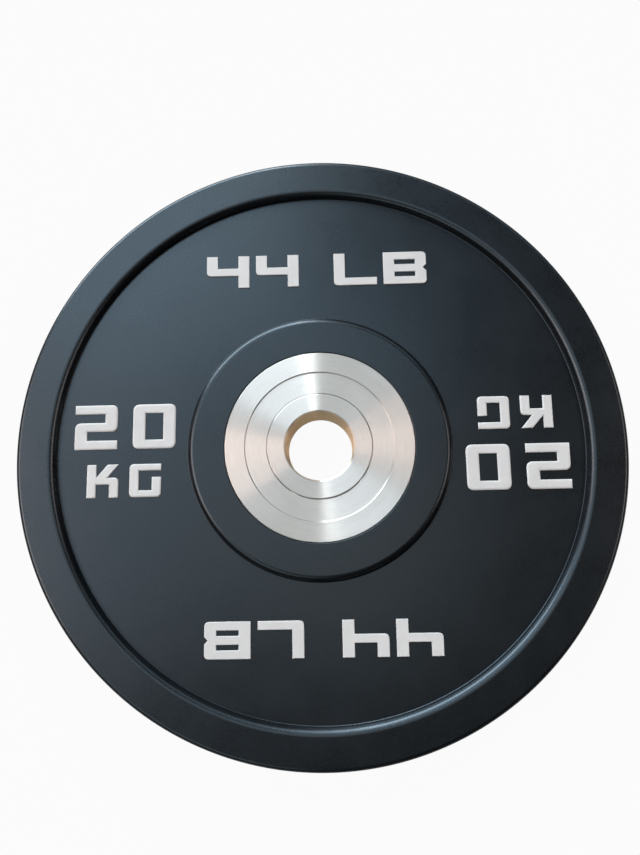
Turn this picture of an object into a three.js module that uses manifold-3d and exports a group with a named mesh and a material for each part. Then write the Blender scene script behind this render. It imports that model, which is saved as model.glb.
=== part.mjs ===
// A 20 kg bumper plate for a 50 mm barbell sleeve, lying on its rear face.
// Millimetres, +Z up. The bore runs along Z, and the origin lies under its centre.

import * as THREE from 'three';
import { mergeVertices } from 'three/addons/utils/BufferGeometryUtils.js';
import Module from 'manifold-3d';

const wasm = await Module();
wasm.setup();

// Overall size
const plateDiameter = 450;
const plateThickness = 42;

// Gap between pieces that nest round one another
const nestingGap = 0.3;

// Length by which a bar that joins or cuts runs past the faces that it meets
const overrun = 1;

// Hub, from the bore outwards: the sleeve's wall, then the disc's sunk band and its outer ring
const boreDiameter = 50.4;
const boreChamfer = 1.2;
const sleeveWall = 13.8;
const sleeveEdgeChamfer = 0.8;
const hubBandWidth = 16.5;
const hubBandDepth = 0.8;
const hubBandWallRun = 0.8;
const hubRingWidth = 14.5;
const hubRingChamfer = 0.5;

// Rubber disc: the raised boss round the hub, the sunk web and the rim
const bossWidth = 22.7;
const bossLip = 0.6;
const webRecess = 6;
const rimWidth = 23.8;
const rimEdgeRound = 4;
const stepTopRound = 5.2;
const stepFootRound = 0.6;
const stepDraftAngle = THREE.MathUtils.degToRad(10);

// Rubber that covers the steel core, over its faces at the web and round its edge
const webCover = 5;
const edgeCover = 52;

// Holes in the core that the rubber runs through
const keyingHoleDiameter = 24;
const keyingHoleCount = 12;

// Raised marks on the web
const markRaise = 1;

// Glyph sizes, as shares of the width of the web: stroke is upright, bar is level, gap lies between glyphs
const digitShares = { width: 0.334, height: 0.3475, stroke: 0.098, bar: 0.0705, corner: 0.052, gap: 0.119 };
const unitShares = { width: 0.2445, height: 0.254, stroke: 0.0725, bar: 0.052, corner: 0.037, gap: 0.0835 };
const wordShares = { width: 0.343, height: 0.266, stroke: 0.089, bar: 0.0625, corner: 0.0375, gap: 0.052 };
const unitRowGapShare = 0.117;
const blockRiseShare = 0.484;
const wordSpaceShare = 0.228;
const wordRiseShare = 0.266;

// Counts of flats on round shapes
const turnedFlats = 96;
const plugFlats = 16;
const roundSteps = 3;
const glyphCornerSteps = 3;

// Radii of the hub and the rubber disc, worked out from the sizes above
const plateRadius = plateDiameter / 2;
const boreRadius = boreDiameter / 2;
const sleeveRadius = boreRadius + sleeveWall;
const hubBandRadius = sleeveRadius + hubBandWidth;
const hubDiscRadius = hubBandRadius + hubRingWidth;
const bossRadius = hubDiscRadius + bossWidth;
const rimInnerRadius = plateRadius - rimWidth;
const hubPocketRadius = hubDiscRadius + nestingGap;
const discBoreRadius = sleeveRadius + nestingGap;

// The drafted step between a face and the web
const stepRounds = stepTopRound + stepFootRound;
const stepWallDrop = webRecess - stepRounds * (1 - Math.sin(stepDraftAngle));
const stepRun = stepRounds * Math.cos(stepDraftAngle) + stepWallDrop * Math.tan(stepDraftAngle);

// The flat ring of the web, which the marks lie on
const webInnerRadius = bossRadius + stepRun;
const webOuterRadius = rimInnerRadius - stepRun;
const webWidth = webOuterRadius - webInnerRadius;
const blockRadius = webInnerRadius + blockRiseShare * webWidth;

// Steel core
const coreRadius = plateRadius - edgeCover;
const faceToCore = webRecess + webCover;
const coreThickness = plateThickness - 2 * faceToCore;
const corePocketRadius = coreRadius + nestingGap;
const keyingCircleRadius = (hubDiscRadius + coreRadius) / 2;

// Solid made from a closed geometry
function solidOf(geometry) {
  const bare = geometry.clone();
  bare.deleteAttribute('normal');
  bare.deleteAttribute('uv');
  const merged = mergeVertices(bare);
  const vertProperties = new Float32Array(merged.attributes.position.array);
  const triVerts = new Uint32Array(merged.index.array);
  return new wasm.Manifold(new wasm.Mesh({ numProp: 3, vertProperties, triVerts }));
}

// Geometry of a solid
function geometryOf(solid) {
  const { vertProperties, triVerts } = solid.getMesh();
  const geometry = new THREE.BufferGeometry();
  geometry.setAttribute('position', new THREE.BufferAttribute(vertProperties, 3));
  geometry.setIndex(new THREE.BufferAttribute(triVerts, 1));
  geometry.computeVertexNormals();
  return geometry;
}

// Closed outline of [radius, height] points, turned round Z
function turned(outline) {
  const points = outline.map(([radius, height]) => new THREE.Vector2(radius, height));
  points.push(points[0].clone());
  return new THREE.LatheGeometry(points, turnedFlats).rotateX(Math.PI / 2);
}

// Points on an arc, by its centre, radius and end angles
function arc(centreX, centreY, radius, fromAngle, toAngle) {
  return Array.from({ length: roundSteps + 1 }, (_, step) => {
    const angle = fromAngle + (toAngle - fromAngle) * step / roundSteps;
    return [centreX + radius * Math.cos(angle), centreY + radius * Math.sin(angle)];
  });
}

// The step's outline, as [run, depth] points from the face's edge down to the web
function stepOutline() {
  const top = arc(0, stepTopRound, stepTopRound, -Math.PI / 2, -stepDraftAngle);
  const foot = arc(stepRun, webRecess - stepFootRound, stepFootRound, Math.PI - stepDraftAngle, Math.PI / 2);
  return [...top, ...foot];
}

// One face of the rubber disc, as [radius, depth] points from the outer wall to the hub's pocket
function faceOutline() {
  const edge = arc(plateRadius - rimEdgeRound, rimEdgeRound, rimEdgeRound, 0, -Math.PI / 2);
  const step = stepOutline();
  const rimStep = step.map(([run, depth]) => [rimInnerRadius - run, depth]);
  const bossStep = step.map(([run, depth]) => [bossRadius + run, depth]).reverse();
  const lip = [[hubPocketRadius + bossLip, 0], [hubPocketRadius, bossLip]];
  return [...edge, ...rimStep, ...bossStep, ...lip];
}

// Round bars at the places of the keying holes, standing through the core's thickness
function keyingBars(diameter) {
  const length = coreThickness + 2 * overrun;
  const bars = [];
  for (let index = 0; index < keyingHoleCount; index += 1) {
    const bar = new THREE.CylinderGeometry(diameter / 2, diameter / 2, length, plugFlats);
    bar.rotateX(Math.PI / 2);
    bar.translate(keyingCircleRadius, 0, plateThickness / 2);
    bar.rotateZ(2 * Math.PI * index / keyingHoleCount);
    bars.push(solidOf(bar));
  }
  return bars;
}

// Rubber disc, moulded round the core, with plugs through its keying holes
function rubberDisc() {
  const face = faceOutline();
  const front = face.map(([radius, depth]) => [radius, plateThickness - depth]);
  const rear = face.toReversed();
  const corePocket = [
    [hubPocketRadius, plateThickness - faceToCore],
    [corePocketRadius, plateThickness - faceToCore],
    [corePocketRadius, faceToCore],
    [hubPocketRadius, faceToCore],
  ];
  let solid = solidOf(turned([...front, ...corePocket, ...rear]));
  for (const plug of keyingBars(keyingHoleDiameter - 2 * nestingGap)) {
    solid = solid.add(plug);
  }
  return geometryOf(solid);
}

// Steel core
function steelCore() {
  let solid = solidOf(turned([
    [coreRadius, faceToCore],
    [coreRadius, plateThickness - faceToCore],
    [discBoreRadius, plateThickness - faceToCore],
    [discBoreRadius, faceToCore],
  ]));
  for (const hole of keyingBars(keyingHoleDiameter)) {
    solid = solid.subtract(hole);
  }
  return geometryOf(solid);
}

// Hub sleeve, with the bore
function hubSleeve() {
  return turned([
    [sleeveRadius, sleeveEdgeChamfer],
    [sleeveRadius, plateThickness - sleeveEdgeChamfer],
    [sleeveRadius - sleeveEdgeChamfer, plateThickness],
    [boreRadius + boreChamfer, plateThickness],
    [boreRadius, plateThickness - boreChamfer],
    [boreRadius, boreChamfer],
    [boreRadius + boreChamfer, 0],
    [sleeveRadius - sleeveEdgeChamfer, 0],
  ]);
}

// Hub disc, standing on the core with its turned face up
function hubDisc() {
  return turned([
    [hubDiscRadius, 0],
    [hubDiscRadius, faceToCore - hubRingChamfer],
    [hubDiscRadius - hubRingChamfer, faceToCore],
    [hubBandRadius, faceToCore],
    [hubBandRadius - hubBandWallRun, faceToCore - hubBandDepth],
    [discBoreRadius, faceToCore - hubBandDepth],
    [discBoreRadius, 0],
  ]);
}

// Outline through [x, y, round] corners
function roundedPath(path, corners) {
  corners.forEach(([x, y, round = 0], index) => {
    const corner = new THREE.Vector2(x, y);
    const before = corners.at(index - 1);
    const after = corners[(index + 1) % corners.length];
    const start = new THREE.Vector2(before[0], before[1]).sub(corner).setLength(round).add(corner);
    const end = new THREE.Vector2(after[0], after[1]).sub(corner).setLength(round).add(corner);
    if (index === 0) {
      path.moveTo(start.x, start.y);
    } else {
      path.lineTo(start.x, start.y);
    }
    if (round > 0) {
      path.quadraticCurveTo(corner.x, corner.y, end.x, end.y);
    }
  });
  path.closePath();
  return path;
}

// Corners of a rectangle, by two opposite corners
function rectangle(left, bottom, right, top, round = 0) {
  return [[left, bottom, round], [right, bottom, round], [right, top, round], [left, top, round]];
}

// Shares of a glyph's own strokes and width
const armWidthShare = 1.2;
const kneeShare = 0.646;
const waistShare = 0.3;

// Each glyph's outline and holes, from its row's sizes, with the lower left corner at zero
const glyphs = {
  2: ({ width, height, stroke, bar, corner }) => {
    const middle = height / 2;
    return [[
      [0, 0], [width, 0], [width, bar], [stroke, bar], [stroke, middle - bar / 2],
      [width, middle - bar / 2, corner], [width, height, corner], [0, height],
      [0, height - bar], [width - stroke, height - bar],
      [width - stroke, middle + bar / 2], [0, middle + bar / 2, corner],
    ]];
  },
  0: ({ width, height, stroke, bar, corner }) => [
    rectangle(0, 0, width, height, corner),
    rectangle(stroke, bar, width - stroke, height - bar),
  ],
  4: ({ width, height, stroke, bar, corner }) => {
    const middle = height / 2;
    return [[
      [width - stroke, 0], [width, 0], [width, height], [width - stroke, height],
      [width - stroke, middle + bar / 2], [stroke, middle + bar / 2], [stroke, height], [0, height],
      [0, middle - bar / 2, corner], [width - stroke, middle - bar / 2],
    ]];
  },
  K: ({ width, height, stroke, bar, corner }) => {
    const middle = height / 2;
    const shoulder = middle + bar / 2;
    const knee = width * kneeShare;
    const arm = stroke * armWidthShare;
    const slope = (height - shoulder) / (width - knee);
    const crotch = height - slope * (width - arm - stroke);
    return [[
      [0, 0], [stroke, 0], [stroke, middle - bar / 2], [width - stroke, middle - bar / 2],
      [width - stroke, 0], [width, 0], [width, shoulder, corner], [knee, shoulder],
      [width, height], [width - arm, height], [stroke, crotch], [stroke, height], [0, height],
    ]];
  },
  G: ({ width, height, stroke, bar, corner }) => {
    const legTop = (height + bar) / 2;
    return [[
      [0, 0, corner], [width, 0, corner], [width, legTop], [width - stroke, legTop],
      [width - stroke, bar], [stroke, bar], [stroke, height - bar], [width, height - bar],
      [width, height], [0, height, corner],
    ]];
  },
  L: ({ width, height, stroke, bar, corner }) => [[
    [0, 0, corner], [width, 0], [width, bar], [stroke, bar], [stroke, height], [0, height],
  ]],
  B: ({ width, height, stroke, bar, corner }) => {
    const middle = height / 2;
    const waist = stroke * waistShare;
    return [
      [
        [0, 0], [width, 0, corner], [width, middle - waist], [width - waist, middle],
        [width, middle + waist], [width, height, corner], [0, height],
      ],
      rectangle(stroke, bar, width - stroke, middle - bar / 2),
      rectangle(stroke, middle + bar / 2, width - stroke, height - bar),
    ];
  },
};

// Raised glyph, its centre at zero and its foot on the XY plane
function raisedGlyph(glyph, row) {
  const [outline, ...holes] = glyphs[glyph](row);
  const shape = roundedPath(new THREE.Shape(), outline);
  shape.holes = holes.map((hole) => roundedPath(new THREE.Path(), hole));
  const geometry = new THREE.ExtrudeGeometry(shape, {
    depth: markRaise,
    bevelEnabled: false,
    curveSegments: glyphCornerSteps,
  });
  return geometry.translate(-row.width / 2, -row.height / 2, 0);
}

// Materials
function material(color, roughness, metalness) {
  return new THREE.MeshStandardMaterial({ color, roughness, metalness });
}
const rubberBlack = () => material('#1f242a', 0.55, 0);
const turnedSteel = () => material('#c8cacc', 0.28, 1);
const plainSteel = () => material('#6f7275', 0.6, 1);
const markWhite = () => material('#d8dbdd', 0.45, 0);

// Adds a named piece to a group
function addPiece(group, name, geometry, finish) {
  const mesh = new THREE.Mesh(geometry, finish);
  mesh.name = name;
  group.add(mesh);
  return mesh;
}

// Sizes of a row of marks, from its shares of the web's width
function rowSizes(shares) {
  return Object.fromEntries(Object.entries(shares).map(([size, share]) => [size, share * webWidth]));
}
const digitRow = rowSizes(digitShares);
const unitRow = rowSizes(unitShares);
const wordRow = rowSizes(wordShares);

// Adds a row of marks, centred across, where a null stands for the space between two words
function addMarkRow(group, prefix, row, marks, height) {
  const widths = marks.map((mark) => (mark ? row.width + row.gap : wordSpaceShare * webWidth));
  let left = (row.gap - widths.reduce((sum, width) => sum + width)) / 2;
  marks.forEach((mark, index) => {
    if (mark) {
      const [glyph, label] = mark;
      const mesh = addPiece(group, `${prefix}_${label}`, raisedGlyph(glyph, row), markWhite());
      mesh.position.set(left + row.width / 2, height, 0);
    }
    left += widths[index];
  });
}

// Adds the weight in kilograms, in two rows
function addWeightBlock(group, prefix) {
  const blockHeight = digitRow.height + unitRowGapShare * webWidth + unitRow.height;
  const digitHeight = (blockHeight - digitRow.height) / 2;
  const unitHeight = (unitRow.height - blockHeight) / 2;
  addMarkRow(group, prefix, digitRow, [['2', 'digit_2'], ['0', 'digit_0']], digitHeight);
  addMarkRow(group, prefix, unitRow, [['K', 'letter_K'], ['G', 'letter_G']], unitHeight);
}

// Adds the weight in pounds, in one row
function addWord(group, prefix) {
  const number = [['4', 'digit_4_first'], ['4', 'digit_4_second']];
  const unit = [['L', 'letter_L'], ['B', 'letter_B']];
  addMarkRow(group, prefix, wordRow, [...number, null, ...unit], 0);
}

// Marks of one face, each block repeated half a turn round the bore
function faceMarks(face) {
  const marks = new THREE.Group();
  const halves = [['left', 'upper', 0], ['right', 'lower', Math.PI]];
  for (const [side, end, turn] of halves) {
    const half = new THREE.Group();
    half.rotation.z = turn;
    const block = new THREE.Group();
    block.position.x = -blockRadius;
    addWeightBlock(block, `${face}_${side}`);
    const word = new THREE.Group();
    word.position.y = webInnerRadius + wordRiseShare * webWidth + wordRow.height / 2;
    addWord(word, `${face}_${end}`);
    half.add(block, word);
    marks.add(half);
  }
  return marks;
}

// The plate
const plate = new THREE.Group();
plate.name = 'bumper_plate';
addPiece(plate, 'rubber_disc', rubberDisc(), rubberBlack());
addPiece(plate, 'steel_core', steelCore(), plainSteel());
addPiece(plate, 'hub_sleeve', hubSleeve(), turnedSteel());

// Front hub disc and marks, facing up
const front = new THREE.Group();
const frontDisc = addPiece(front, 'front_hub_disc', hubDisc(), turnedSteel());
frontDisc.position.z = plateThickness - faceToCore;
const frontMarks = faceMarks('front');
frontMarks.position.z = plateThickness - webRecess;
front.add(frontMarks);
plate.add(front);

// Rear hub disc and marks, turned over to face down
const rear = new THREE.Group();
rear.rotation.y = Math.PI;
const rearDisc = addPiece(rear, 'rear_hub_disc', hubDisc(), turnedSteel());
rearDisc.position.z = -faceToCore;
const rearMarks = faceMarks('rear');
rearMarks.position.z = -webRecess;
rear.add(rearMarks);
plate.add(rear);

export default plate;
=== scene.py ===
import math

import bmesh
import bpy
from mathutils import Matrix, Vector
from mathutils.geometry import tessellate_polygon


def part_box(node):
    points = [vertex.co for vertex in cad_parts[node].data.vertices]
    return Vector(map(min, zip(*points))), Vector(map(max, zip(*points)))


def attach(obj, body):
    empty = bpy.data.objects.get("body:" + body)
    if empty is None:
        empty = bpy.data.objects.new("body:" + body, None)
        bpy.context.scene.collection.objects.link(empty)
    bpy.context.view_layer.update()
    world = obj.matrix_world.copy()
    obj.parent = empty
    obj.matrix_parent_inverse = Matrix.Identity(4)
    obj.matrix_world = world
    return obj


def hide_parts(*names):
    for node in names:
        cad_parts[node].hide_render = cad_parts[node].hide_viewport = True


# A rubber bumper plate with a turned steel hub, lying on a pale floor. Metres, in the frame's own axes.
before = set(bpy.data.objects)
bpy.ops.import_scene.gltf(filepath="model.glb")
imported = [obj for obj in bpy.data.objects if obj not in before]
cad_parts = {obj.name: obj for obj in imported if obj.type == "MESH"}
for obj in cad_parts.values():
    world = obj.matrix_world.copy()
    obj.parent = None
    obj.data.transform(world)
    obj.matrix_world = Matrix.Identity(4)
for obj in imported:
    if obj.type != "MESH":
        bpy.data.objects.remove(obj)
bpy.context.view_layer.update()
scene = bpy.context.scene

MM = 0.001

# Sizes that the frame gives
PLATE_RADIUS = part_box("rubber_disc")[1].x
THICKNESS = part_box("rubber_disc")[1].z
SLEEVE_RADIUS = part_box("hub_sleeve")[1].x
HUB_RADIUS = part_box("front_hub_disc")[1].x
CORE_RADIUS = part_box("steel_core")[1].x
CORE_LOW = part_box("steel_core")[0].z
WEB_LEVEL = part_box("front_left_digit_2")[0].z
MARK_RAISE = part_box("front_left_digit_2")[1].z - WEB_LEVEL
WEB_RECESS = THICKNESS - WEB_LEVEL

# Clearance between nested pieces
NESTING_GAP = 0.3 * MM

# Rubber disc
RIM_WIDTH = 23.8 * MM
BOSS_WIDTH = 22.7 * MM
RIM_EDGE_ROUND = 4 * MM
STEP_TOP_ROUND = 5.2 * MM
STEP_FOOT_ROUND = 0.6 * MM
STEP_DRAFT = math.radians(10)
LIP_ROUND = 0.6 * MM
PARTING_LINE_WIDTH = 0.9 * MM
PARTING_LINE_DEPTH = 0.2 * MM

# Hub sleeve and hub discs
BORE_RADIUS = 25.2 * MM
BORE_CHAMFER = 1.2 * MM
SLEEVE_CHAMFER = 0.8 * MM
BAND_WIDTH = 16.5 * MM
BAND_DEPTH = 0.8 * MM
BAND_WALL_RUN = 0.8 * MM
HUB_EDGE_CHAMFER = 0.5 * MM
STEEL_EDGE_ROUND = 0.15 * MM

# Counts of flats
TURNED_FLATS = 288
ROUND_STEPS = 12
GLYPH_CORNER_STEPS = 8
GLYPH_EDGE_STEPS = 7

# Edges sharper than this stay creased in the shading
CREASE_ANGLE = math.radians(40)


# Meshes

def finish_mesh(name, vertices, faces, material, slot, node):
    mesh = bpy.data.meshes.new(name)
    mesh.from_pydata(vertices, [], faces)
    shape = bmesh.new()
    shape.from_mesh(mesh)
    bmesh.ops.recalc_face_normals(shape, faces=shape.faces)
    shape.to_mesh(mesh)
    shape.free()
    mesh.shade_smooth()
    mesh.set_sharp_from_angle(angle=CREASE_ANGLE)
    mesh.materials.append(material)
    piece = bpy.data.objects.new(name, mesh)
    scene.collection.objects.link(piece)
    shading = piece.modifiers.new("flat_face_shading", "WEIGHTED_NORMAL")
    shading.keep_sharp = True
    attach(piece, "root")
    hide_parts(node)
    return piece


def turned(outline):
    """Vertices and faces of a closed (radius, height) outline turned round Z."""
    count = len(outline)
    vertices = []
    faces = []
    for flat in range(TURNED_FLATS):
        angle = 2 * math.pi * flat / TURNED_FLATS
        here = flat * count
        there = (flat + 1) % TURNED_FLATS * count
        vertices += [(r * math.cos(angle), r * math.sin(angle), z) for r, z in outline]
        for index in range(count):
            after = (index + 1) % count
            faces.append((here + index, here + after, there + after, there + index))
    return vertices, faces


def rounded(corners):
    """Outline through (radius, height, round) corners, each round an arc."""
    points = []
    for index, (x, y, radius) in enumerate(corners):
        corner = Vector((x, y))
        if radius == 0:
            points.append(corner)
            continue
        back = (Vector(corners[index - 1][:2]) - corner).normalized()
        ahead = (Vector(corners[(index + 1) % len(corners)][:2]) - corner).normalized()
        half = back.angle(ahead) / 2
        centre = corner + (back + ahead).normalized() * radius / math.sin(half)
        start = corner + back * radius / math.tan(half) - centre
        end = corner + ahead * radius / math.tan(half) - centre
        sweep = start.angle(end)
        for step in range(ROUND_STEPS + 1):
            before_share = math.sin(sweep * (1 - step / ROUND_STEPS)) / math.sin(sweep)
            after_share = math.sin(sweep * step / ROUND_STEPS) / math.sin(sweep)
            points.append(centre + start * before_share + end * after_share)
    return points


def both_faces(face):
    """Closed outline of a part that is alike on both faces, from (radius, depth, round) corners of one."""
    front = [(radius, THICKNESS - depth, round_) for radius, depth, round_ in face]
    rear = [(radius, depth, round_) for radius, depth, round_ in reversed(face)]
    return front + rear


# Rubber disc

def rubber_outline():
    wall_run = WEB_RECESS * math.tan(STEP_DRAFT)
    top_reach = STEP_TOP_ROUND * math.tan((math.pi / 2 - STEP_DRAFT) / 2)
    rim_inner = PLATE_RADIUS - RIM_WIDTH
    pocket = HUB_RADIUS + NESTING_GAP
    boss = HUB_RADIUS + BOSS_WIDTH
    middle = THICKNESS / 2
    face = [
        (PLATE_RADIUS - PARTING_LINE_DEPTH, middle, 0),
        (PLATE_RADIUS, middle - PARTING_LINE_WIDTH / 2, PARTING_LINE_DEPTH),
        (PLATE_RADIUS, 0, RIM_EDGE_ROUND),
        (rim_inner - top_reach, 0, STEP_TOP_ROUND),
        (rim_inner - top_reach - wall_run, WEB_RECESS, STEP_FOOT_ROUND),
        (boss + top_reach + wall_run, WEB_RECESS, STEP_FOOT_ROUND),
        (boss + top_reach, 0, STEP_TOP_ROUND),
        (pocket, 0, LIP_ROUND),
        (pocket, CORE_LOW, 0),
        (CORE_RADIUS + NESTING_GAP, CORE_LOW, 0),
    ]
    return rounded(both_faces(face)[1:])


# Hub

def sleeve_outline():
    face = [
        (SLEEVE_RADIUS, SLEEVE_CHAMFER, STEEL_EDGE_ROUND),
        (SLEEVE_RADIUS - SLEEVE_CHAMFER, 0, STEEL_EDGE_ROUND),
        (BORE_RADIUS + BORE_CHAMFER, 0, STEEL_EDGE_ROUND),
        (BORE_RADIUS, BORE_CHAMFER, STEEL_EDGE_ROUND),
    ]
    return rounded(both_faces(face))


def hub_disc_outline(turn_over):
    band_edge = SLEEVE_RADIUS + BAND_WIDTH
    inner = SLEEVE_RADIUS + NESTING_GAP
    face = [
        (HUB_RADIUS, CORE_LOW, 0),
        (HUB_RADIUS, HUB_EDGE_CHAMFER, STEEL_EDGE_ROUND),
        (HUB_RADIUS - HUB_EDGE_CHAMFER, 0, STEEL_EDGE_ROUND),
        (band_edge, 0, STEEL_EDGE_ROUND),
        (band_edge - BAND_WALL_RUN, BAND_DEPTH, STEEL_EDGE_ROUND),
        (inner, BAND_DEPTH, STEEL_EDGE_ROUND),
        (inner, CORE_LOW, 0),
    ]
    if turn_over:
        return rounded(face)
    return rounded([(radius, THICKNESS - depth, round_) for radius, depth, round_ in face])


# Raised marks. Stroke, corner and edge are shares of a mark's width, bar of its height and drop of its raise.
MARK_SHARES = {
    "digit": {"stroke": 0.294, "bar": 0.2025, "corner": 0.155, "edge": 0.055, "drop": 0.7},
    "letter": {"stroke": 0.296, "bar": 0.204, "corner": 0.152, "edge": 0.055, "drop": 0.65},
    "word": {"stroke": 0.2595, "bar": 0.235, "corner": 0.109, "edge": 0.018, "drop": 0.4},
}
ARM_WIDTH_SHARE = 1.2
KNEE_SHARE = 0.646
WAIST_SHARE = 0.3

# How far in from a mark's wall the middle of its flat top starts, as a share of its edge
FLAT_EDGE_SHARE = 1.12

# A bend sharper than this is cut short when its loop is drawn in, so that the loop never crosses itself
SHARPEST_BEND = 0.6


def rectangle(left, bottom, right, top, corner=0):
    return [(left, bottom, corner), (right, bottom, corner), (right, top, corner), (left, top, corner)]


def glyph_2(w, h, stroke, bar, corner):
    low, high = (h - bar) / 2, (h + bar) / 2
    return [[
        (0, 0, 0), (w, 0, 0), (w, bar, 0), (stroke, bar, 0), (stroke, low, 0),
        (w, low, corner), (w, h, corner), (0, h, 0), (0, h - bar, 0), (w - stroke, h - bar, 0),
        (w - stroke, high, 0), (0, high, corner),
    ]]


def glyph_0(w, h, stroke, bar, corner):
    return [rectangle(0, 0, w, h, corner), rectangle(stroke, bar, w - stroke, h - bar)]


def glyph_4(w, h, stroke, bar, corner):
    low, high = (h - bar) / 2, (h + bar) / 2
    return [[
        (w - stroke, 0, 0), (w, 0, 0), (w, h, 0), (w - stroke, h, 0), (w - stroke, high, 0),
        (stroke, high, 0), (stroke, h, 0), (0, h, 0), (0, low, corner), (w - stroke, low, 0),
    ]]


def glyph_k(w, h, stroke, bar, corner):
    low, high = (h - bar) / 2, (h + bar) / 2
    knee = w * KNEE_SHARE
    arm = stroke * ARM_WIDTH_SHARE
    crotch = h - (h - high) / (w - knee) * (w - arm - stroke)
    return [[
        (0, 0, 0), (stroke, 0, 0), (stroke, low, 0), (w - stroke, low, 0), (w - stroke, 0, 0),
        (w, 0, 0), (w, high, corner), (knee, high, 0), (w, h, 0), (w - arm, h, 0),
        (stroke, crotch, 0), (stroke, h, 0), (0, h, 0),
    ]]


def glyph_g(w, h, stroke, bar, corner):
    leg_top = (h + bar) / 2
    return [[
        (0, 0, corner), (w, 0, corner), (w, leg_top, 0), (w - stroke, leg_top, 0),
        (w - stroke, bar, 0), (stroke, bar, 0), (stroke, h - bar, 0), (w, h - bar, 0),
        (w, h, 0), (0, h, corner),
    ]]


def glyph_l(w, h, stroke, bar, corner):
    return [[(0, 0, corner), (w, 0, 0), (w, bar, 0), (stroke, bar, 0), (stroke, h, 0), (0, h, 0)]]


def glyph_b(w, h, stroke, bar, corner):
    low, high = (h - bar) / 2, (h + bar) / 2
    waist = stroke * WAIST_SHARE
    outer = [
        (0, 0, 0), (w, 0, corner), (w, h / 2 - waist, 0), (w - waist, h / 2, 0),
        (w, h / 2 + waist, 0), (w, h, corner), (0, h, 0),
    ]
    return [outer, rectangle(stroke, bar, w - stroke, low), rectangle(stroke, high, w - stroke, h - bar)]


GLYPHS = {
    "digit_2": glyph_2, "digit_0": glyph_0, "digit_4": glyph_4,
    "letter_K": glyph_k, "letter_G": glyph_g, "letter_L": glyph_l, "letter_B": glyph_b,
}


def glyph_loop(corners):
    """Points round a glyph outline, each rounded corner a quadratic curve."""
    loop = []
    for index, (x, y, reach) in enumerate(corners):
        corner = Vector((x, y))
        if reach == 0:
            loop.append(corner)
            continue
        start = corner + (Vector(corners[index - 1][:2]) - corner).normalized() * reach
        end = corner + (Vector(corners[(index + 1) % len(corners)][:2]) - corner).normalized() * reach
        for step in range(GLYPH_CORNER_STEPS + 1):
            t = step / GLYPH_CORNER_STEPS
            loop.append(start * (1 - t) ** 2 + corner * 2 * t * (1 - t) + end * t ** 2)
    return loop


def drawn_in(loop, distance):
    """Loop moved by a distance to the left of its own direction."""
    moved = []
    for index, point in enumerate(loop):
        into = (point - loop[index - 1]).normalized()
        out = (loop[(index + 1) % len(loop)] - point).normalized()
        sideways = Vector((-into.y - out.y, into.x + out.x))
        moved.append(point + sideways * distance / max(1 + into.dot(out), SHARPEST_BEND))
    return moved


def edge_profile(edge, drop):
    """(inset, height) steps up a mark: a short wall, then a soft round edge to the flat top."""
    steps = [(0, 0)]
    for step in range(GLYPH_EDGE_STEPS + 1):
        angle = math.pi / 2 * step / GLYPH_EDGE_STEPS
        steps.append((edge * (1 - math.cos(angle)), MARK_RAISE - drop * (1 - math.sin(angle))))
    steps.append((edge * FLAT_EDGE_SHARE, MARK_RAISE))
    return steps


def raised_mark(node):
    """Vertices and faces of the mark that stands in a node's box."""
    low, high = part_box(node)
    face, side, kind, character = node.split("_")[:4]
    row = "word" if side in ("upper", "lower") else kind
    shares = MARK_SHARES[row]
    w, h = high.x - low.x, high.y - low.y
    loops = GLYPHS[f"{kind}_{character}"](w, h, shares["stroke"] * w, shares["bar"] * h, shares["corner"] * w)
    loops = [glyph_loop(corners) for corners in loops]
    loops = [loops[0]] + [hole[::-1] for hole in loops[1:]]
    turn = -1 if side in ("right", "lower") else 1
    across = turn if face == "front" else -turn
    foot, up = (low.z, 1) if face == "front" else (high.z, -1)
    centre = (low + high) / 2
    vertices = []
    rings = []
    for inset, height in edge_profile(shares["edge"] * w, shares["drop"] * MARK_RAISE):
        ring = []
        for loop in loops:
            ring.append([len(vertices) + index for index in range(len(loop))])
            for point in drawn_in(loop, inset):
                x = centre.x + across * (point.x - w / 2)
                y = centre.y + turn * (point.y - h / 2)
                vertices.append((x, y, foot + up * height))
        rings.append(ring)
    faces = []
    for lower, upper in zip(rings, rings[1:]):
        for below, above in zip(lower, upper):
            for index in range(len(below)):
                after = (index + 1) % len(below)
                faces.append((below[index], below[after], above[after], above[index]))
    for ring in (rings[0], rings[-1]):
        order = [index for loop in ring for index in loop]
        caps = tessellate_polygon([[Vector(vertices[index]) for index in loop] for loop in ring])
        faces += [tuple(order[index] for index in cap) for cap in caps]
    return vertices, faces


# Materials

def add_node(tree, kind, inputs=None, **settings):
    """New node, its settings set, and each input either linked or given a value."""
    node = tree.nodes.new(kind)
    for name, value in settings.items():
        setattr(node, name, value)
    for name, value in (inputs or {}).items():
        if isinstance(value, bpy.types.NodeSocket):
            tree.links.new(value, node.inputs[name])
        else:
            node.inputs[name].default_value = value
    return node


def new_material(name):
    material = bpy.data.materials.new(name)
    material.use_nodes = True
    material.node_tree.nodes.clear()
    return material, material.node_tree


def finish_material(tree, shader):
    add_node(tree, "ShaderNodeOutputMaterial", {"Surface": shader})


def math_node(tree, operation, first, second=0.0):
    return add_node(tree, "ShaderNodeMath", {0: first, 1: second}, operation=operation).outputs[0]


def noise(tree, vector, scale, detail=3.0, roughness=0.5):
    inputs = {"Vector": vector, "Scale": scale, "Detail": detail, "Roughness": roughness}
    return add_node(tree, "ShaderNodeTexNoise", inputs).outputs["Fac"]


def map_range(tree, value, from_low, from_high, to_low, to_high):
    inputs = {"Value": value, "From Min": from_low, "From Max": from_high, "To Min": to_low, "To Max": to_high}
    return add_node(tree, "ShaderNodeMapRange", inputs).outputs[0]


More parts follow.
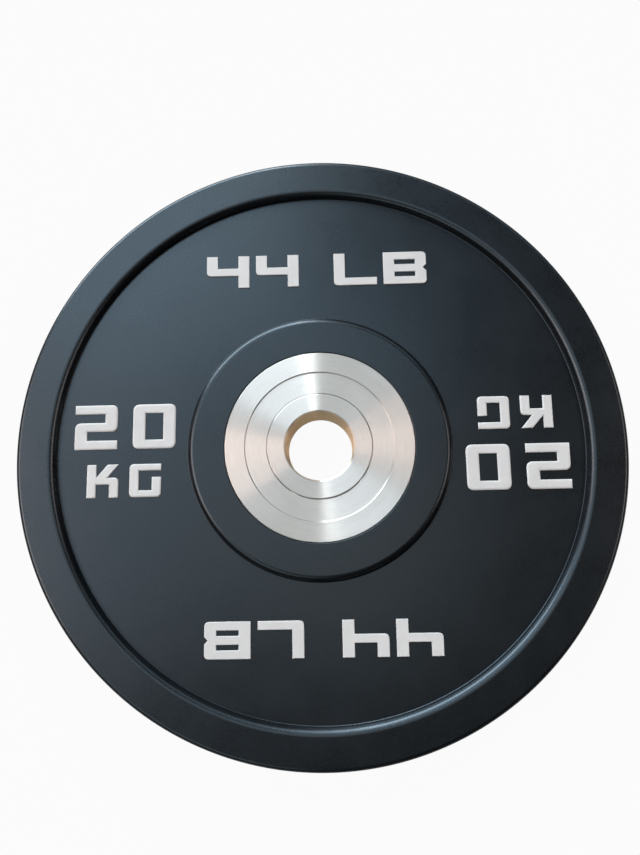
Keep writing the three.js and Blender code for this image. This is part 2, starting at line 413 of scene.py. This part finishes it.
def mix_colour(tree, factor, first, second):
    node = add_node(tree, "ShaderNodeMix", data_type="RGBA")
    sockets = [socket for socket in node.inputs if socket.type == "RGBA"]
    for socket, value in zip([node.inputs[0], *sockets], (factor, first, second)):
        if isinstance(value, bpy.types.NodeSocket):
            tree.links.new(value, socket)
        else:
            socket.default_value = value
    return [socket for socket in node.outputs if socket.type == "RGBA"][0]


def bump(tree, height, distance, strength=1.0, normal=None):
    inputs = {"Height": height, "Distance": distance, "Strength": strength}
    if normal:
        inputs["Normal"] = normal
    return add_node(tree, "ShaderNodeBump", inputs).outputs["Normal"]


def rubber_material():
    material, tree = new_material("rubber_black")
    place = add_node(tree, "ShaderNodeTexCoord").outputs["Object"]
    cloud = noise(tree, place, 24.0, 5.0, 0.62)
    grain = noise(tree, place, 750.0, 4.0, 0.6)
    fine = noise(tree, place, 2600.0, 2.0, 0.5)
    ripple = noise(tree, place, 60.0, 2.0, 0.4)
    colour = mix_colour(
        tree, map_range(tree, cloud, 0.3, 0.7, 0.0, 1.0), (0.003, 0.0036, 0.0045, 1), (0.005, 0.0058, 0.007, 1)
    )
    sheen_spots = map_range(tree, grain, 0.35, 0.65, -0.02, 0.02)
    roughness = math_node(tree, "ADD", map_range(tree, cloud, 0.3, 0.7, 0.27, 0.31), sheen_spots)
    normal = bump(tree, ripple, 0.06 * MM)
    normal = bump(tree, grain, 0.02 * MM, normal=normal)
    normal = bump(tree, fine, 0.008 * MM, normal=normal)
    shader = add_node(tree, "ShaderNodeBsdfPrincipled", {
        "Base Color": colour, "Roughness": roughness, "Normal": normal, "IOR": 1.62,
        "Specular Tint": (0.7, 0.86, 1.0, 1),
    })
    finish_material(tree, shader.outputs[0])
    return material


# Straw tint of the bore's wall
BORE_COLOUR = (0.9, 0.74, 0.54, 1)


def turned_steel(name, colour, dark_colour, roughness, groove_depth):
    """Bright steel with concentric turning marks about Z."""
    material, tree = new_material(name)
    place = add_node(tree, "ShaderNodeTexCoord").outputs["Object"]
    split = add_node(tree, "ShaderNodeSeparateXYZ", {"Vector": place}).outputs
    flat = add_node(tree, "ShaderNodeCombineXYZ", {"X": split["X"], "Y": split["Y"]}).outputs[0]
    radius = add_node(tree, "ShaderNodeVectorMath", {0: flat}, operation="LENGTH").outputs["Value"]
    around = add_node(tree, "ShaderNodeVectorMath", {0: flat}, operation="NORMALIZE").outputs[0]
    turn = add_node(tree, "ShaderNodeSeparateXYZ", {"Vector": around}).outputs
    along = math_node(tree, "ADD", radius, split["Z"])
    polar = add_node(tree, "ShaderNodeCombineXYZ", {
        "X": math_node(tree, "MULTIPLY", turn["X"], 0.004),
        "Y": math_node(tree, "MULTIPLY", turn["Y"], 0.004),
        "Z": along,
    }).outputs[0]
    rings = noise(tree, polar, 1600.0, 3.0, 0.6)
    broad = noise(tree, polar, 240.0, 3.0, 0.5)
    cloud = noise(tree, place, 55.0, 3.0, 0.5)
    shade = math_node(tree, "ADD", math_node(tree, "MULTIPLY", rings, 0.6), math_node(tree, "MULTIPLY", broad, 0.4))
    base = mix_colour(tree, map_range(tree, shade, 0.35, 0.65, 0.0, 1.0), dark_colour, colour)
    in_bore = map_range(tree, radius, BORE_RADIUS, BORE_RADIUS + BORE_CHAMFER, 1.0, 0.0)
    base = mix_colour(tree, in_bore, base, BORE_COLOUR)
    rough = math_node(
        tree, "ADD", map_range(tree, rings, 0.3, 0.7, roughness - 0.03, roughness + 0.03),
        map_range(tree, cloud, 0.3, 0.7, -0.02, 0.02),
    )
    normal = bump(tree, rings, groove_depth)
    tangent = add_node(tree, "ShaderNodeTangent", direction_type="RADIAL", axis="Z").outputs[0]
    shader = add_node(tree, "ShaderNodeBsdfPrincipled", {
        "Base Color": base, "Metallic": 0.82, "Roughness": rough, "Normal": normal,
        "Anisotropic": 1.0, "Anisotropic Rotation": 0.25, "Tangent": tangent,
    })
    finish_material(tree, shader.outputs[0])
    return material


def core_material():
    material, tree = new_material("core_steel")
    place = add_node(tree, "ShaderNodeTexCoord").outputs["Object"]
    cloud = noise(tree, place, 40.0, 5.0, 0.6)
    scale = noise(tree, place, 400.0, 4.0, 0.6)
    colour = mix_colour(tree, cloud, (0.2, 0.2, 0.21, 1), (0.36, 0.36, 0.37, 1))
    shader = add_node(tree, "ShaderNodeBsdfPrincipled", {
        "Base Color": colour, "Metallic": 1.0, "Normal": bump(tree, scale, 0.1 * MM),
        "Roughness": map_range(tree, scale, 0.3, 0.7, 0.5, 0.65),
    })
    finish_material(tree, shader.outputs[0])
    return material


def mark_material():
    material, tree = new_material("mark_white")
    place = add_node(tree, "ShaderNodeTexCoord").outputs["Object"]
    cloud = noise(tree, place, 90.0, 4.0, 0.6)
    grain = noise(tree, place, 1100.0, 3.0, 0.5)
    colour = mix_colour(
        tree, map_range(tree, cloud, 0.3, 0.7, 0.0, 1.0), (0.54, 0.535, 0.535, 1), (0.58, 0.575, 0.575, 1)
    )
    shader = add_node(tree, "ShaderNodeBsdfPrincipled", {
        "Base Color": colour, "Roughness": map_range(tree, cloud, 0.3, 0.7, 0.3, 0.38),
        "Normal": bump(tree, grain, 0.012 * MM),
    })
    finish_material(tree, shader.outputs[0])
    return material


# Studio

FLOOR_SIZE = 60
FLOOR_DROP = 0.05 * MM
FLOOR_COLOUR = (0.3, 0.3, 0.3, 1)
FLOOR_SEEN_WHITE = 0.95
FLOOR_MIRRORED_WHITE = 0.05


def white_to_camera(tree, shader, share, glossy_share):
    """Shader that camera rays see as white by a share, and glossy rays by another."""
    path = add_node(tree, "ShaderNodeLightPath").outputs
    clear = math_node(tree, "MAXIMUM", path["Is Camera Ray"], path["Is Transmission Ray"])
    seen = math_node(tree, "MULTIPLY", clear, share)
    mirrored = math_node(tree, "MULTIPLY", path["Is Glossy Ray"], glossy_share)
    factor = math_node(tree, "MAXIMUM", seen, mirrored)
    white = add_node(tree, "ShaderNodeEmission", {"Color": (1, 1, 1, 1), "Strength": 1.0}).outputs[0]
    return add_node(tree, "ShaderNodeMixShader", {0: factor, 1: shader, 2: white}).outputs[0]


def make_floor():
    half = FLOOR_SIZE / 2
    mesh = bpy.data.meshes.new("floor")
    corners = [(-half, -half), (half, -half), (half, half), (-half, half)]
    mesh.from_pydata([(x, y, -FLOOR_DROP) for x, y in corners], [], [(0, 1, 2, 3)])
    material, tree = new_material("floor_white")
    matt = add_node(tree, "ShaderNodeBsdfDiffuse", {"Color": FLOOR_COLOUR}).outputs[0]
    finish_material(tree, white_to_camera(tree, matt, FLOOR_SEEN_WHITE, FLOOR_MIRRORED_WHITE))
    mesh.materials.append(material)
    floor = bpy.data.objects.new("floor", mesh)
    scene.collection.objects.link(floor)


# Lit panels of the room, in degrees: azimuth of the middle and half width, each side's blur, lowest and
# highest elevation and their blur, and then the light's colour
ROOM_PANELS = [
    ("window", 120.0, 24.0, 5, 9, 35, 8, (8.0, 9.1, 9.8)),
    ("window_strip", 97.0, 3.0, 1, 12, 52, 6, (12.0, 12.6, 12.6)),
    ("softbox", 124.0, 26.0, 6, 50, 70, 6, (2.55, 3.0, 3.3)),
    ("warm_lamp", 181.8, 23.0, 1, 34, 55, 4, (6.0, 4.9, 4.4)),
    ("warm_wall", 3.0, 20.5, 1, 36, 50, 5, (4.4, 3.5, 3.1)),
    ("fill", 181.5, 32.5, 12, 54, 78, 6, (1.1, 1.2, 1.3)),
    ("side", 66.0, 24.0, 10, 22, 46, 6, (0.9, 1.05, 1.1)),
    ("corner", 238.0, 22.0, 8, 36, 52, 6, (1.7, 1.8, 1.7)),
    ("upper", 84.0, 25.0, 12, 68, 80, 5, (1.2, 1.5, 1.7)),
    ("ceiling", 0.0, 360.0, 1, 78, 100, 6, (1.15, 1.15, 1.1)),
]


def smooth_edge(tree, value, edge, blur, rising):
    inputs = {"Value": value, "From Min": edge - blur, "From Max": edge + blur, "To Min": 0.0, "To Max": 1.0}
    if not rising:
        inputs |= {"To Min": 1.0, "To Max": 0.0}
    return add_node(tree, "ShaderNodeMapRange", inputs, interpolation_type="SMOOTHSTEP").outputs[0]


def panel_mask(tree, direction, azimuth, half_width, blur, low, high, height_blur):
    """How much of a panel a direction sees, from 0 to 1."""
    turned_to_it = add_node(tree, "ShaderNodeVectorRotate", {
        "Vector": direction, "Angle": -math.radians(azimuth),
    }, rotation_type="Z_AXIS").outputs[0]
    split = add_node(tree, "ShaderNodeSeparateXYZ", {"Vector": turned_to_it}).outputs
    away = math_node(tree, "ABSOLUTE", math_node(tree, "ARCTAN2", split["Y"], split["X"]))
    rise = math_node(tree, "ARCSINE", split["Z"])
    across = smooth_edge(tree, away, math.radians(half_width), math.radians(blur), False)
    above = smooth_edge(tree, rise, math.radians(low), math.radians(height_blur), True)
    below = smooth_edge(tree, rise, math.radians(high), math.radians(height_blur), False)
    return math_node(tree, "MULTIPLY", across, math_node(tree, "MULTIPLY", above, below))


def light_room():
    world = bpy.data.worlds.new("room")
    scene.world = world
    world.use_nodes = True
    tree = world.node_tree
    tree.nodes.clear()
    direction = add_node(tree, "ShaderNodeTexCoord").outputs["Generated"]
    light = (0.0, 0.0, 0.0)
    for _, *place, colour in ROOM_PANELS:
        lit = add_node(tree, "ShaderNodeVectorMath", {
            0: colour, "Scale": panel_mask(tree, direction, *place),
        }, operation="SCALE").outputs[0]
        light = add_node(tree, "ShaderNodeVectorMath", {0: light, 1: lit}, operation="ADD").outputs[0]
    glow = add_node(tree, "ShaderNodeBackground", {"Color": light, "Strength": 1.0}).outputs[0]
    path = add_node(tree, "ShaderNodeLightPath").outputs
    clear = math_node(tree, "MAXIMUM", path["Is Camera Ray"], path["Is Transmission Ray"])
    white = add_node(tree, "ShaderNodeBackground", {"Color": (1, 1, 1, 1), "Strength": 1.0}).outputs[0]
    shown = add_node(tree, "ShaderNodeMixShader", {0: clear, 1: glow, 2: white}).outputs[0]
    add_node(tree, "ShaderNodeOutputWorld", {"Surface": shown})


# Camera, worked out from the ellipses that the plate's circles make in the photograph
SENSOR_WIDTH = 36
FOCAL_LENGTH = 25.56
CAMERA_FROM_FACE = Vector((10.2, -51.5, 441.4)) * MM
CAMERA_TILT = [math.radians(degrees) for degrees in (8.31, 1.23, 0.02)]
PRINT_ROLL = math.radians(1.15)
HALF_PIXEL = 0.5 / 855
CLIP_START = 10 * MM


def make_camera():
    data = bpy.data.cameras.new("camera")
    data.sensor_width = SENSOR_WIDTH
    data.lens = FOCAL_LENGTH
    data.clip_start = CLIP_START
    data.shift_x = -HALF_PIXEL
    data.shift_y = HALF_PIXEL
    camera = bpy.data.objects.new("camera", data)
    scene.collection.objects.link(camera)
    place = Matrix.Translation(CAMERA_FROM_FACE + Vector((0, 0, THICKNESS)))
    tilt = Matrix.Rotation(CAMERA_TILT[2], 4, "Z") @ Matrix.Rotation(CAMERA_TILT[1], 4, "Y")
    tilt = tilt @ Matrix.Rotation(CAMERA_TILT[0], 4, "X")
    camera.matrix_world = Matrix.Rotation(-PRINT_ROLL, 4, "Z") @ place @ tilt
    scene.camera = camera


# The plate
rubber = rubber_material()
hub_steel = turned_steel("turned_steel", (0.67, 0.65, 0.63, 1), (0.6, 0.58, 0.56, 1), 0.33, 0.003 * MM)
marks = mark_material()
finish_mesh("rubber_body", *turned(rubber_outline()), rubber, "rubber_black", "rubber_disc")
finish_mesh("sleeve", *turned(sleeve_outline()), hub_steel, "turned_steel", "hub_sleeve")
finish_mesh("front_disc", *turned(hub_disc_outline(False)), hub_steel, "turned_steel", "front_hub_disc")
finish_mesh("rear_disc", *turned(hub_disc_outline(True)), hub_steel, "turned_steel", "rear_hub_disc")
for node in sorted(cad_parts):
    if "digit" in node or "letter" in node:
        finish_mesh(f"{node}_mark", *raised_mark(node), marks, "mark_white", node)
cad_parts["steel_core"].material_slots[0].material = core_material()

# The scene round it
make_floor()
light_room()
make_camera()
scene.view_settings.view_transform = "Standard"
